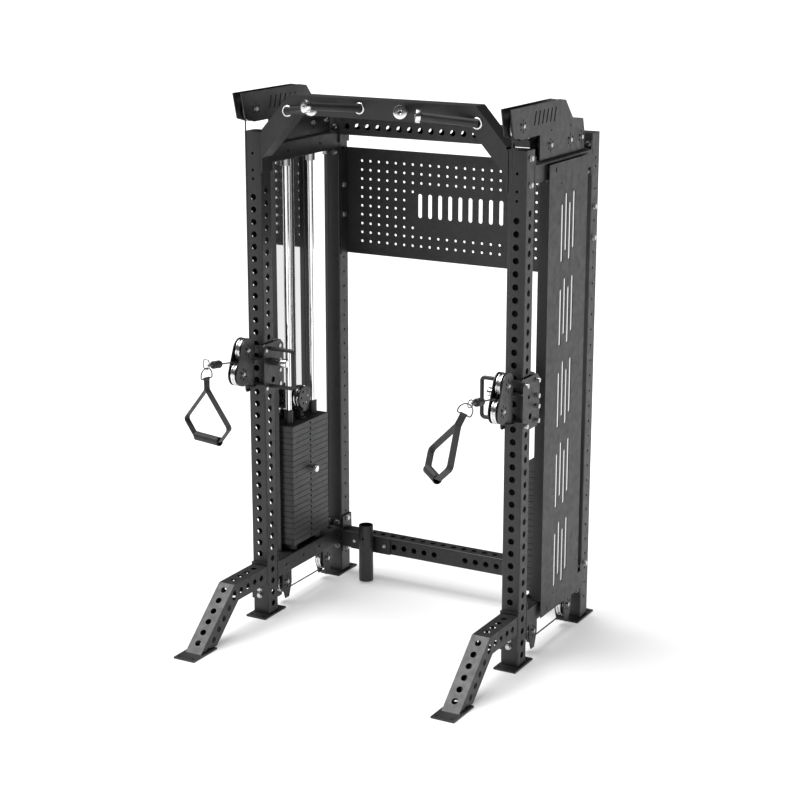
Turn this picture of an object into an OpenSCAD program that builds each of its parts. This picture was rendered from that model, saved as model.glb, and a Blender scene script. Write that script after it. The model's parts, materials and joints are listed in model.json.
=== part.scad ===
// Functional trainer: a free-standing cable machine with two weight stacks.
// X runs across the machine, Y runs from the user to the back, Z is up from the floor.
// Positions are written from the middle of the machine (X), the front uprights' centre line (Y)
// and the floor (Z); place() then moves the origin to the middle of the footprint.

/* [Frame] */
// Outside width of the square frame tube
tube_w = 76.2; // [70:0.1:80]
// Wall thickness of the frame tube
wall = 3; // [2:0.5:4]
// Distance from the middle of the machine to an upright's centre
upright_x = 588; // [570:1:620]
// Distance between the front and the rear uprights' centres
depth = 611; // [600:1:640]
// Height of the uprights
upright_h = 2067; // [2060:1:2100]
// Height of the top of the pull-up arch
arch_h = 2221.5; // [2210:0.5:2240]

/* [Hole pattern] */
// Diameter of the large holes
hole_d = 25.4; // [20:0.1:26]
// Distance between neighbouring large holes
hole_pitch = 50.8; // [50:0.1:52]
// Diameter of the small bolt holes
bolt_hole_d = 10.5; // [8:0.5:12]

/* [Weight stacks] */
// Weight plates in each stack
plate_count = 21; // [15:1:21]
// Distance from one plate to the next
plate_pitch = 25.4; // [25:0.1:26]
// Plates that hang on the selector pin with the head plate's, counted from the top
picked_count = 9; // [1:1:14]
// Diameter of the guide rods
rod_d = 25.4; // [20:0.1:26]

/* [Cable system] */
// Outside radius of the pulleys
pulley_r = 49.5; // [47:0.5:49.5]
// Radius of the cable
cable_r = 3; // [2:0.5:3]
// Diameter of the pulley axles
axle_d = 10; // [8:0.5:12]

/* [Hidden] */
$fn = 48;
half = tube_w / 2;
inner_w = tube_w - 2 * wall;
tube_r = 6;
rear_y = depth;

// Footprint: the toes of the front feet and the heels of the rear base plates
toe_y = -611;
base_w = 97;
base_l = 165;
base_t = 8;
heel_y = rear_y + base_l / 2;
mid_y = (toe_y + heel_y) / 2;

// Inner and outer side faces of the uprights
inner_x = upright_x - half;
outer_x = upright_x + half;
flange_t = 8;
post_gap_y0 = half;
post_gap_y1 = rear_y - half;

// Front face holes, side face holes and small rear upright holes
front_hole_top = 1802.2;
front_hole_n = 31;
low_hole_z = 94;
side_hole_top = 1827.6;
side_hole_n = 36;
rear_hole_z0 = 94.6;
rear_hole_pitch = 64.7;
rear_hole_n = 28;

// Beams between the uprights
low_beam_z0 = 151;
low_beam_z1 = low_beam_z0 + tube_w;
up_beam_z0 = 1932;
up_beam_z1 = up_beam_z0 + tube_w;
low_cross_z0 = 131;
up_cross_z0 = upright_h - tube_w;

// Front feet
foot_drop_deg = 41;
foot_top_z = low_beam_z1;
foot_bend_y = -293;

// Pull-up arch and its grips
arch_front_y = -half;
arch_corner_x = 413;
arch_inner_x = 379.3;
arch_leg_z0 = 1955.6;
arch_leg_z1 = 2069;
grip_d = 32;
grip_cap_d = 52;
inner_grip = [[90, arch_front_y, 2185], [209, -255, 2208.6]];
outer_grip = [[419, arch_front_y, 2157], [226, -170, 2188]];

// Pegboard
peg_z0 = 1468;
peg_z1 = 1930;
peg_t = 3;
peg_hole_d = 11;
peg_rows = 10;
peg_cols = 24;
peg_row_pitch = 38.8;
peg_col_pitch = 41.5;
peg_row0_z = 1525.3;
peg_margin_cols = [24, 24, 7, 6, 6, 6, 7, 24, 24, 24];

// Side shrouds and the light sheet behind their slots
shroud_x = 640;
shroud_t = 2;
shroud_y0 = 141;
shroud_z0 = 158;
shroud_z1 = 1993;
shroud_back_y = 505;
shroud_tab_y = 552;
shroud_lip = 43;
slot_w = 18;

// Weight stacks
stack_y = 302;
stack_l = 289;
stack_w = 95;
stack_z0 = low_beam_z1 + 31.1;
stack_z1 = stack_z0 + plate_count * plate_pitch;
plate_gap = 1;
rod_dy = 97.5;
rod_hole_d = rod_d + 2.6;
sleeve_d = 36;
picker_d = 24;
pin_d = 9.5;
pin_z = stack_z1 - (picked_count - 0.5) * plate_pitch;
float_z = 890;
lift_collar_z = up_beam_z0 - 32;

// Pulley axles as [y, z]; the cable centre line runs on the rope radius
rope_r = pulley_r - 3.5;
pulley_w = 20;
groove_play = 0.55;
lead_y = -84;
top_front = [lead_y + rope_r, 2157];
top_fore = [stack_y - 2 * rope_r, 2060];
top_aft = [stack_y + 2 * rope_r, 2060];
top_rear = [500, 2060];
low_front = [138, 100];
low_rear = [478, 100];
trolley_up = [lead_y - rope_r, 1187];
trolley_low = [-168, 1094.5];
anchor_y = low_front[0] - rope_r;

// Pulley brackets
cheek_t = 4.5;
cheek_in = 17;
cheek_out = cheek_in + cheek_t;

// Trolley
plate_in = half + 4;
plate_out = plate_in + 6;
trolley_z0 = 984;
trolley_z1 = 1196;
pin_hole_z = side_hole_top - 14 * hole_pitch;
pop_travel = 13.5;
lead_deg = 8;
exit_y = trolley_up[0] - rope_r * sin(lead_deg);
exit_z = trolley_up[1] - rope_r * cos(lead_deg);
stop_y_l = -304;
stop_y_r = -309;
stop_l = 52;
stop_d = 32;
lug_l = 29;
eye_l = stop_l + 23;
link_r = 14;
link_straight = 14;
link_wire_r = 2.4;
ring_wire_r = 2.6;

// Handles: half-round ring, then where its top hangs, yaw about Z and swing, one per side
dring_r = 29.4;
dring_top = 4;
dring_leg = 12.6;
dring_corner = 6;
link_lift = 3;
ring_l = [
    -upright_x - link_r, eye(-1)[0],
    eye(-1)[1] + link_lift - link_r - link_straight / 2 + link_wire_r + ring_wire_r + 0.3 + dring_top
];
ring_r = [upright_x + 1.4, -415.9, 1184.4];
yaw_l = -12.4;
yaw_r = -46.8;
swing_l = 0;
swing_r = -27.8;
strap_apex = 93;
strap_half = 127.5;
strap_corner = 232;
strap_grip = 296;
grip_half = 68;
strap_w = 28;
grip_od = 37;
grip_bore = 31;
strap_t = 3;

// ---- Helpers -------------------------------------------------------------------------------

module place() { translate([0, -mid_y, 0]) children(); }

// The right side is modelled; the left side is its mirror image
module side(s) {
    if (s > 0) children();
    else mirror([1, 0, 0]) children();
}

module both_sides() { for (s = [-1, 1]) side(s) children(); }

module box(x0, x1, y0, y1, z0, z1) { translate([x0, y0, z0]) cube([x1 - x0, y1 - y0, z1 - z0]); }

module bore_x(y, z, d, x0, x1) { translate([x0, y, z]) rotate([0, 90, 0]) cylinder(d = d, h = x1 - x0); }

module bore_y(x, z, d, y0, y1) { translate([x, y0, z]) rotate([-90, 0, 0]) cylinder(d = d, h = y1 - y0); }

module bore_z(x, y, d, z0, z1) { translate([x, y, z0]) cylinder(d = d, h = z1 - z0); }

// Square outline with round corners
module tube_outline(w, r) {
    square([w, w - 2 * r], center = true);
    square([w - 2 * r, w], center = true);
    for (sx = [-1, 1], sy = [-1, 1]) translate([sx, sy] * (w / 2 - r)) circle(r, $fn = 24);
}

// Hollow square tube along +Z
module tube(len) {
    linear_extrude(len) difference() {
        tube_outline(tube_w, tube_r);
        tube_outline(inner_w, tube_r - wall);
    }
}

module tube_y(x, z, y0, y1) { translate([x, y0, z]) rotate([-90, 0, 0]) tube(y1 - y0); }

module tube_x(y, z, x0, x1) { translate([x0, y, z]) rotate([0, 90, 0]) tube(x1 - x0); }

// Outline in the Y-Z plane, given a thickness along X from x0 to x1
module sheet_x(x0, x1) {
    translate([x0, 0, 0]) rotate([90, 0, 90]) linear_extrude(x1 - x0) children();
}

// Slot with round ends between two points of an outline
module slot_2d(a, b, w) {
    d = b - a;
    translate(a) rotate(atan2(d[1], d[0])) {
        translate([0, -w / 2]) square([norm(d), w]);
        circle(d = w);
        translate([norm(d), 0]) circle(d = w);
    }
}

// Bar of round section between two points
module bar(a, b, d) {
    v = b - a;
    translate(a) rotate([0, acos(v[2] / norm(v)), atan2(v[1], v[0])]) cylinder(d = d, h = norm(v));
}

// ---- Uprights ------------------------------------------------------------------------------

module upright(y) {
    translate([upright_x, y, 0]) {
        difference() {
            translate([-base_w / 2, -base_l / 2, 0]) cube([base_w, base_l, base_t]);
            for (dy = [-62, 62], dx = [-30, 30]) bore_z(dx, dy, 12, -1, base_t + 1);
        }
        translate([0, 0, base_t - 0.01]) tube(upright_h - base_t - wall);
        translate([0, 0, upright_h - wall - 0.02]) linear_extrude(wall) tube_outline(tube_w, tube_r);
    }
}

module front_uprights() {
    color("#3b3d40") both_sides() difference() {
        upright(0);
        for (k = [0 : front_hole_n - 1])
            bore_y(upright_x, front_hole_top - k * hole_pitch, hole_d, -half - 1, half + 1);
        for (k = [0 : side_hole_n - 1])
            bore_x(0, side_hole_top - k * hole_pitch, hole_d, inner_x - 1, outer_x + 1);
        bore_y(upright_x, low_hole_z, hole_d, -half - 1, half + 1);
        for (z = [1979.6, 1912, 1876.6]) bore_y(upright_x, z, bolt_hole_d, -half - 1, -half + 5);
    }
}

module rear_uprights() {
    color("#3b3d40") both_sides() difference() {
        upright(rear_y);
        for (k = [0 : rear_hole_n - 1])
            bore_x(rear_y, rear_hole_z0 + k * rear_hole_pitch, 10, inner_x - 1, outer_x + 1);
        for (z = [1932, 1968]) bore_x(rear_y, z, 10, inner_x - 1, outer_x + 1);
    }
}

// ---- Feet and beams ------------------------------------------------------------------------

// Side view of a foot: level from the upright, then sloping down to the toe plate.
// inset shrinks the outline to the tube's inside.
module foot_outline(inset) {
    top = foot_top_z - inset;
    low = low_beam_z0 + inset;
    bend = (tube_w - 2 * inset) * tan(foot_drop_deg / 2);
    y1 = foot_bend_y + inset * tan(foot_drop_deg / 2);
    floor_z = base_t - 0.5;
    polygon([
        [-half - flange_t, low], [y1 + bend, low],
        [y1 + bend - (low - floor_z) / tan(foot_drop_deg), floor_z],
        [y1 - (top - floor_z) / tan(foot_drop_deg), floor_z],
        [y1, top], [-half - flange_t, top]
    ]);
}

module front_feet() {
    color("#3b3d40") both_sides() {
        difference() {
            sheet_x(inner_x, outer_x) foot_outline(0);
            sheet_x(inner_x + wall, outer_x - wall) foot_outline(wall);
            for (k = [0 : 4]) bore_x(-90 - k * hole_pitch, 189, hole_d, inner_x - 1, outer_x + 1);
            for (k = [0 : 3]) bore_z(upright_x, -90 - k * hole_pitch, hole_d, low_beam_z0 - 1, foot_top_z + 1);
            translate([upright_x, foot_bend_y, foot_top_z]) rotate([foot_drop_deg, 0, 0])
                for (k = [0 : 5]) {
                    bore_z(0, -32 - k * hole_pitch, hole_d, -wall - 2, 2);
                    bore_x(-38 - k * hole_pitch, -half, hole_d, -half - 1, half + 1);
                }
        }
        box(inner_x - 1.5, outer_x + 1.5, -half - flange_t, -half, 75, 240);
        difference() {
            box(upright_x - 50, upright_x + 50, toe_y, -445, 0, base_t);
            for (dx = [-32, 32]) bore_z(upright_x + dx, toe_y + 18, 12, -1, base_t + 1);
        }
    }
}

module end_flange_y(y0, z0, z1) { box(inner_x, outer_x, y0, y0 + flange_t, z0, z1); }

module lower_side_beams() {
    color("#3b3d40") both_sides() {
        difference() {
            tube_y(upright_x, low_beam_z0 + half, post_gap_y0 + flange_t, post_gap_y1 - flange_t);
            for (y = [110, 250, 380, 540]) bore_x(y, low_beam_z0 + half, bolt_hole_d, inner_x - 1, inner_x + 5);
            for (y = [anchor_y, low_rear[0] + rope_r])
                box(upright_x - 10, upright_x + 10, y - 14, y + 14, low_beam_z0 - 1, low_beam_z1 + 1);
        }
        end_flange_y(post_gap_y0, 120, 258);
        end_flange_y(post_gap_y1 - flange_t, 120, 258);
    }
}

module upper_side_beams() {
    color("#3b3d40") both_sides() {
        difference() {
            tube_y(upright_x, up_beam_z0 + half, post_gap_y0 + flange_t, post_gap_y1 - flange_t);
            for (y = [170, 420]) bore_x(y, up_beam_z0 + half, bolt_hole_d, inner_x - 1, inner_x + 5);
            for (y = [stack_y - rope_r, stack_y + rope_r, top_rear[0] + rope_r - 4])
                box(upright_x - 10, upright_x + 10, y - 13, y + 13, up_beam_z0 - 1, up_beam_z1 + 1);
        }
        end_flange_y(post_gap_y0, 1902, 2038);
        end_flange_y(post_gap_y1 - flange_t, 1902, 2038);
    }
}

module crossmember(z0, flange_z0, flange_z1) {
    tube_x(rear_y, z0 + half, -inner_x + flange_t, inner_x - flange_t);
    both_sides() box(inner_x - flange_t, inner_x, rear_y - half, rear_y + half, flange_z0, flange_z1);
}

module lower_crossmember() {
    color("#3b3d40") difference() {
        crossmember(low_cross_z0, 106, 272);
        for (k = [1.5 : 1 : 5.5], s = [-1, 1])
            bore_y(s * k * hole_pitch, low_cross_z0 + half, hole_d, rear_y - half - 1, rear_y + half + 1);
        for (k = [-9 : 9])
            bore_z(k * hole_pitch, rear_y, hole_d, low_cross_z0 + tube_w - 5, low_cross_z0 + tube_w + 1);
    }
}

module upper_crossmember() {
    color("#3b3d40") difference() {
        crossmember(up_cross_z0, 1957, upright_h);
        for (k = [-10 : 10])
            bore_y(k * hole_pitch, up_cross_z0 + half, hole_d, rear_y - half - 1, rear_y + half + 1);
    }
}

// ---- Pull-up arch --------------------------------------------------------------------------

// Arch in the X-Z plane; inset shrinks the band to the tube's inside
module arch_outline(inset) {
    end_x = inner_x - flange_t;
    lean = (arch_leg_z1 - arch_h) / (inner_x - arch_corner_x);
    drop = inset * 1.5;
    shift = inset * 0.45;
    outer_z = arch_leg_z1 + lean * (end_x - inner_x);
    inner_z = arch_leg_z0 + lean * (end_x - inner_x);
    for (s = [-1, 1]) polygon([
        [0, arch_h - inset], [s * (arch_corner_x - shift), arch_h - inset],
        [s * end_x, outer_z - drop], [s * end_x, inner_z + drop],
        [s * (arch_inner_x + shift), arch_h - tube_w + inset], [0, arch_h - tube_w + inset]
    ]);
}

module pull_up_arch() {
    color("#3b3d40") {
        difference() {
            translate([0, half, 0]) rotate([90, 0, 0]) linear_extrude(tube_w) arch_outline(0);
            translate([0, half - wall, 0]) rotate([90, 0, 0]) linear_extrude(inner_w) arch_outline(wall);
        }
        both_sides() box(inner_x - flange_t, inner_x, -half, half, 1903, upright_h);
    }
}

// Grip bar with a collar at the arch and a cap at its free end
module pull_up_grip(ends) {
    v = (ends[1] - ends[0]) / norm(ends[1] - ends[0]);
    color("#2a2b2d") difference() {
        bar(ends[0] - v * 20, ends[1] - v * 18, grip_d);
        box(ends[0][0] - 60, ends[0][0] + 60, arch_front_y, arch_front_y + 60, ends[0][2] - 60, ends[0][2] + 60);
    }
    color("#d8d9da") {
        bar(ends[1] - v * 20, ends[1], grip_cap_d);
        difference() {
            translate(ends[0] - [0, 5, 0]) rotate([-90, 0, 0]) cylinder(d = grip_d + 13, h = 5);
            bar(ends[0] - v * 20, ends[1] - v * 18, grip_d + 0.6);
        }
    }
}

module pull_up_grips() {
    both_sides() {
        pull_up_grip(inner_grip);
        pull_up_grip(outer_grip);
    }
}

// ---- Pegboard ------------------------------------------------------------------------------

module peg_sheet_2d() {
    difference() {
        translate([-inner_x, peg_z0]) square([2 * inner_x, peg_z1 - peg_z0]);
        for (r = [0 : peg_rows - 1], c = [0 : peg_cols - 1])
            if (c < peg_margin_cols[r] || c > peg_cols - 1 - peg_margin_cols[r])
                translate([(c - (peg_cols - 1) / 2) * peg_col_pitch, peg_row0_z + r * peg_row_pitch])
                    circle(d = peg_hole_d, $fn = 20);
        // Long slots fill the middle of the board
        for (k = [-4 : 4])
            slot_2d([k * 48, peg_row0_z + 3.4 * peg_row_pitch],
                [k * 48, peg_row0_z + 5.6 * peg_row_pitch], slot_w);
    }
}

module pegboard() {
    color("#3b3d40") {
        translate([0, rear_y + half, 0]) rotate([90, 0, 0]) linear_extrude(peg_t) peg_sheet_2d();
        both_sides() difference() {
            box(inner_x - peg_t, inner_x, rear_y - half + 12, rear_y + half, peg_z0, peg_z1);
            for (z = [1642, 1769]) bore_x(rear_y, z, bolt_hole_d, inner_x - 10, inner_x + 1);
        }
    }
}

// ---- Shrouds -------------------------------------------------------------------------------

// Groups of upright slots, staggered in three columns
module shroud_slots_2d() {
    for (g = [0 : 4]) {
        z = 264 + g * 336;
        slot_2d([268, z], [268, z + 210], slot_w);
        slot_2d([304, z + 40], [304, z + 250], slot_w);
        slot_2d([340, z], [340, z + 210], slot_w);
        slot_2d([376, z + 40], [376, z + 250], slot_w);
    }
}

module side_shrouds() {
    color("#4a4c4e") both_sides() {
        sheet_x(shroud_x - shroud_t, shroud_x) difference() {
            translate([shroud_y0, shroud_z0]) square([shroud_tab_y - shroud_y0, shroud_z1 - shroud_z0]);
            translate([shroud_back_y, 235]) square([100, 1705]);
            shroud_slots_2d();
            for (z = [179, 1968]) slot_2d([202, z - 6], [202, z + 6], 9);
            for (z = [231, 1911]) translate([252, z]) circle(d = 7);
        }
        // Folded front edge, clear of both beams
        box(shroud_x - shroud_lip, shroud_x - shroud_t + 0.01, shroud_y0, shroud_y0 + shroud_t, 229, 1930);
        // Spacers that hold the sheet off the beams
        for (y = [225, 530], z = [189, 1970])
            bore_x(y, z, 22, outer_x, shroud_x - shroud_t + 0.01);
    }
}

module shroud_backings() {
    color("#c4c6c8") both_sides()
        box(shroud_x - shroud_t - 1.5, shroud_x - shroud_t, shroud_y0 + 6, shroud_back_y - 4, 236, 1922);
}

// ---- Pulley brackets -----------------------------------------------------------------------

module bracket_pair() {
    for (s = [-1, 1])
        sheet_x(upright_x + min(s * cheek_in, s * cheek_out), upright_x + max(s * cheek_in, s * cheek_out))
            children();
}

// Ring of short radial slots round an axle
module axle_slots_2d(p) {
    for (a = [30 : 60 : 330])
        slot_2d(p + 17 * [cos(a), sin(a)], p + 25 * [cos(a), sin(a)], 5);
}

module top_bracket_2d() {
    difference() {
        polygon([
            [-142, 2228], [-115, 2125], [-50, 2108], [113, 2109], [113, up_beam_z1],
            [530, up_beam_z1], [530, 2083], [515, 2133], [414, 2146], [345, 2220], [288, 2228]
        ]);
        for (p = [top_front, top_fore, top_aft, top_rear]) axle_slots_2d(p);
        for (p = [[218, 2116], [395, 2117]]) translate(p) circle(d = 9);
        // Row of slanted slots between the front and the middle pulleys
        for (k = [0 : 5]) slot_2d([60 + k * 36, 2152], [74 + k * 36, 2198], 10);
    }
}

module low_bracket_2d(p) {
    difference() {
        union() {
            translate([p[0] - 37, p[1] - 15]) square([74, low_beam_z0 - p[1] + 15]);
            polygon([
                [p[0] - 37, p[1] - 14.9], [p[0] + 37, p[1] - 14.9],
                [p[0] + 14, p[1] - 74], [p[0] - 14, p[1] - 74]
            ]);
        }
        axle_slots_2d(p);
    }
}

module axle(p) { bore_x(p[0], p[1], axle_d, upright_x - cheek_out, upright_x + cheek_out); }

module pulley_brackets() {
    color("#3b3d40") both_sides() {
        bracket_pair() top_bracket_2d();
        bracket_pair() low_bracket_2d(low_front);
        bracket_pair() low_bracket_2d(low_rear);
        for (p = [top_front, top_fore, top_aft, top_rear, low_front, low_rear]) axle(p);
        // Foot that ties the top plates to the beam
        for (y = [150, stack_y, 447])
            box(upright_x - cheek_out, upright_x + cheek_out, y - 5, y + 5, up_beam_z1, up_beam_z1 + 7);
        // Plate that ties each lower pair to the underside of the beam
        for (p = [low_front, low_rear], t = [-1, 1])
            box(upright_x - cheek_out, upright_x + cheek_out, p[0] + t * 27 - 10, p[0] + t * 27 + 10,
                low_beam_z0 - 1.4, low_beam_z0);
    }
}

// Grooved wheel about X through p; the rope seat is a true round groove
module pulley(p, web) {
    r = pulley_r;
    color("#b4b7ba") translate([upright_x, p[0], p[1]]) rotate([0, 90, 0]) difference() {
        rotate_extrude() difference() {
            translate([axle_d / 2 + 0.08, -pulley_w / 2]) square([r - axle_d / 2 - 0.08, pulley_w]);
            translate([r - 3.4, 0]) circle(cable_r + groove_play);
            polygon([[r - 3.4, 3.2], [r + 1, 6.4], [r + 1, -6.4], [r - 3.4, -3.2]]);
            for (s = [-1, 1]) translate([15, s * pulley_w / 2 - 3]) square([r - 27, 6]);
        }
        if (web)
            for (a = [0 : 60 : 300])
                rotate([0, 0, a]) translate([27, 0, -pulley_w]) cylinder(d = 11, h = 2 * pulley_w);
    }
}

// ---- Weight stack --------------------------------------------------------------------------

module guide_rods() {
    color("#e3e5e6") both_sides() for (s = [-1, 1])
        bore_z(upright_x, stack_y + s * rod_dy, rod_d, low_beam_z1, up_beam_z0);
    color("#2b2c2e") both_sides() for (s = [-1, 1]) {
        translate([upright_x, stack_y + s * rod_dy, low_beam_z1]) difference() {
            cylinder(d = 56, h = stack_z0 - low_beam_z1);
            translate([0, 0, -1]) cylinder(d = rod_d, h = 40);
        }
        translate([upright_x, stack_y + s * rod_dy, lift_collar_z]) difference() {
            cylinder(d = 42, h = up_beam_z0 - lift_collar_z);
            translate([0, 0, -1]) cylinder(d = rod_d, h = 40);
        }
    }
}

// Weight plate number k from the top, with its rod holes, centre bore and pin hole
module weight_plate(k) {
    z1 = stack_z1 - k * plate_pitch;
    z0 = z1 - plate_pitch + plate_gap;
    face_x = upright_x - stack_w / 2;
    difference() {
        union() {
            box(face_x, face_x + stack_w, stack_y - stack_l / 2, stack_y + stack_l / 2, z0, z1);
            for (s = [-1, 1]) bore_z(upright_x, stack_y + s * rod_dy, 50, z0 - plate_gap, z0 + 0.01);
        }
        for (s = [-1, 1]) bore_z(upright_x, stack_y + s * rod_dy, rod_hole_d, z0 - 2, z1 + 1);
        bore_z(upright_x, stack_y, picker_d + 2.4, z0 - 1, z1 + 1);
        bore_x(stack_y, z1 - plate_pitch / 2, pin_d + 1.5, face_x - 1, upright_x);
    }
}

module resting_plates() {
    color("#2f3133") both_sides() for (k = [picked_count : plate_count - 1]) weight_plate(k);
}

module picked_plates(s) {
    color("#2f3133") side(s) for (k = [1 : picked_count - 1]) weight_plate(k);
}

// Top plate with guide sleeves, the picker rod and the yoke round the stack pulley
module stack_head(s) {
    rod_z0 = stack_z1 - 14.6 * plate_pitch;
    color("#2f3133") side(s) {
        difference() {
            union() {
                weight_plate(0);
                for (t = [-1, 1]) bore_z(upright_x, stack_y + t * rod_dy, sleeve_d, stack_z1 - 0.01, stack_z1 + 61);
            }
            for (t = [-1, 1]) bore_z(upright_x, stack_y + t * rod_dy, rod_hole_d, stack_z1 - 30, stack_z1 + 70);
        }
        difference() {
            bore_z(upright_x, stack_y, picker_d, rod_z0, stack_z1 + 26);
            for (k = [0 : 13])
                bore_x(stack_y, stack_z1 - (k + 0.5) * plate_pitch, pin_d + 1.5, upright_x - 20, upright_x + 20);
        }
        bore_z(upright_x, stack_y, 44, stack_z1 - 0.01, stack_z1 + 12);
        bore_z(upright_x, stack_y, 14, stack_z1 + 10, float_z - 58);
        box(upright_x - cheek_out, upright_x + cheek_out, stack_y - 14, stack_y + 14, float_z - 62, float_z - 54);
        bracket_pair() difference() {
            union() {
                translate([stack_y, float_z]) circle(47.5);
                translate([stack_y - 14, float_z - 62]) square([28, 40]);
            }
            for (a = [0 : 60 : 300]) translate([stack_y, float_z] + 29 * [cos(a), sin(a)]) circle(d = 11);
        }
        bore_x(stack_y, float_z, axle_d, upright_x - cheek_out, upright_x + cheek_out);
    }
}

// Pin with a round knob on the user's side of the stack
module selector_pin(s) {
    color("#c9cbcd") side(s) {
        face_x = upright_x - stack_w / 2;
        bore_x(stack_y, pin_z, pin_d, face_x - 30, upright_x + 8);
        bore_x(stack_y, pin_z, 20, face_x - 12, face_x - 0.3);
        bore_x(stack_y, pin_z, 34, face_x - 34, face_x - 11.9);
    }
}

// ---- Trolley -------------------------------------------------------------------------------

module trolley_plate_2d() {
    difference() {
        polygon([
            [-53, trolley_z0 + 8], [-45, trolley_z0], [74, trolley_z0], [96, trolley_z0 + 22],
            [96, trolley_z1 - 22], [74, trolley_z1], [-45, trolley_z1], [-53, trolley_z1 - 8]
        ]);
        translate([13, 1037]) circle(d = hole_d);
        translate([0, pin_hole_z]) circle(d = 17);
    }
}

// Shelf in front of the upright with a lug or a clearance round the swivel axis
module trolley_shelf(z, lug) {
    difference() {
        union() {
            box(upright_x - plate_out, upright_x + plate_out, -62, -half - 0.2, z - 6, z);
            if (lug) bore_z(upright_x, lead_y, 46, z - 6, z);
        }
        if (lug) bore_z(upright_x, lead_y, 12.16, z - 7, z + 1);
        else bore_z(upright_x, lead_y, 52, z - 7, z + 1);
    }
}

module trolley(s) {
    color("#3b3d40") side(s) {
        for (t = [-1, 1])
            sheet_x(upright_x + min(t * plate_in, t * plate_out), upright_x + max(t * plate_in, t * plate_out))
                trolley_plate_2d();
        trolley_shelf(1189, false);
        trolley_shelf(1140, true);
        trolley_shelf(1028, true);
        // Bolts across the back with the outer heads and the round inner heads
        for (z = [1008, 1066, 1108, 1170]) {
            bore_x(68, z, 10, upright_x - plate_out - 0.5, upright_x + plate_out + 0.5);
            bore_x(68, z, 19, upright_x + plate_out - 0.01, upright_x + plate_out + 14);
            bore_x(68, z, 17, upright_x - plate_out - 2.5, upright_x - plate_out + 0.01);
        }
        // Rear rollers, either side of the cable
        for (z = [1008, 1170], t = [-1, 1])
            bore_x(68, z, 59.4, upright_x + min(t * 8, t * 30), upright_x + max(t * 8, t * 30));
        // Front bolts hold the slide pads against the sides of the upright
        for (z = [1008, 1170], t = [-1, 1]) {
            box(upright_x + min(t * (half + 0.2), t * plate_in), upright_x + max(t * (half + 0.2), t * plate_in),
                -45, -22, z - 13, z + 13);
            bore_x(-35, z, t > 0 ? 19 : 17, upright_x + (t > 0 ? plate_out - 0.01 : -plate_out - 2.5),
                upright_x + (t > 0 ? plate_out + 14 : -plate_out + 0.01));
        }
        // Anchor of the lower cable end
        box(upright_x - plate_in, upright_x + plate_in, anchor_y - 7, anchor_y + 4, 1082, 1094);
        // Housing of the pop pin
        translate([upright_x - plate_out - 40, 0, pin_hole_z]) rotate([0, 90, 0]) difference() {
            cylinder(d = 30, h = 40);
            translate([0, 0, -1]) cylinder(d = 16.16, h = 50);
        }
    }
}

// U-shaped grab handle on the inner side plate
module side_handle(s) {
    z0 = 1012;
    z1 = 1171;
    r = 14;
    reach = 434;
    x1 = upright_x - plate_out;
    color("#303234") side(s) {
        for (z = [z0, z1]) bore_x(0, z, 16, reach + r, x1);
        bore_z(reach, 0, 16, z0 + r, z1 - r);
        translate([reach + r, 0, z0 + r]) rotate([90, 0, 0]) rotate([0, 0, 180]) rotate_extrude(angle = 90)
            translate([r, 0]) circle(8);
        translate([reach + r, 0, z1 - r]) rotate([90, 0, 0]) rotate([0, 0, 90]) rotate_extrude(angle = 90)
            translate([r, 0]) circle(8);
    }
}

// Spring pin that locks the trolley in a side hole of the upright, drawn pulled out
module pop_pin(s) {
    x0 = upright_x - plate_out - 40;
    color("#d8d9da") side(s) {
        bore_x(0, pin_hole_z, 16, x0 - pop_travel - 6, inner_x - 1.5);
        bore_x(0, pin_hole_z, 36, x0 - pop_travel - 26, x0 - pop_travel - 0.5);
    }
}

// ---- Swivel pulley head --------------------------------------------------------------------

module swivel_cheek_2d() {
    a = atan2(trolley_up[1] - trolley_low[1], trolley_up[0] - trolley_low[0]);
    len = norm(trolley_up - trolley_low);
    difference() {
        union() {
            for (p = [trolley_up, trolley_low]) translate(p) circle(50);
            translate(trolley_low) rotate(a) translate([0, -50]) square([len, 100]);
            translate([-140, 1050]) square([48, 79]);
        }
        // Clear of the middle shelf's lug
        translate([lead_y - 18, 1131]) square([80, 12]);
        for (p = [trolley_up, trolley_low]) axle_slots_2d(p);
    }
}

module swivel(s) {
    color("#3b3d40") side(s) {
        bracket_pair() swivel_cheek_2d();
        for (p = [trolley_up, trolley_low]) axle(p);
        bore_z(upright_x, lead_y, 32, 1028.3, 1133.7);
        bore_z(upright_x, lead_y, 12, 1018, 1144);
        box(upright_x - cheek_out, upright_x + cheek_out, -102, -90, 1050, 1129);
    }
}

function stop_y(s) = s > 0 ? stop_y_r : stop_y_l;

function stop_z(s) = exit_z + (exit_y - stop_y(s)) * tan(lead_deg);

// Where the link passes through the stop's lug, as [y, z]
function eye(s) = [stop_y(s) - eye_l * cos(lead_deg), stop_z(s) + eye_l * sin(lead_deg)];

// Oval link of round wire centred at c, its plane turned about Z from the Y-Z plane, its long axis at deg
module oval_link(c, turn, deg) {
    translate(c) rotate([0, 0, turn]) rotate([90, 0, 90]) rotate([0, 0, deg]) {
        for (t = [-1, 1]) {
            translate([t * link_straight / 2, 0, 0]) rotate([0, 0, t > 0 ? -90 : 90])
                rotate_extrude(angle = 180) translate([link_r, 0]) circle(link_wire_r);
            translate([-link_straight / 2, t * link_r, 0]) rotate([0, 90, 0])
                cylinder(r = link_wire_r, h = link_straight);
        }
    }
}

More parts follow.
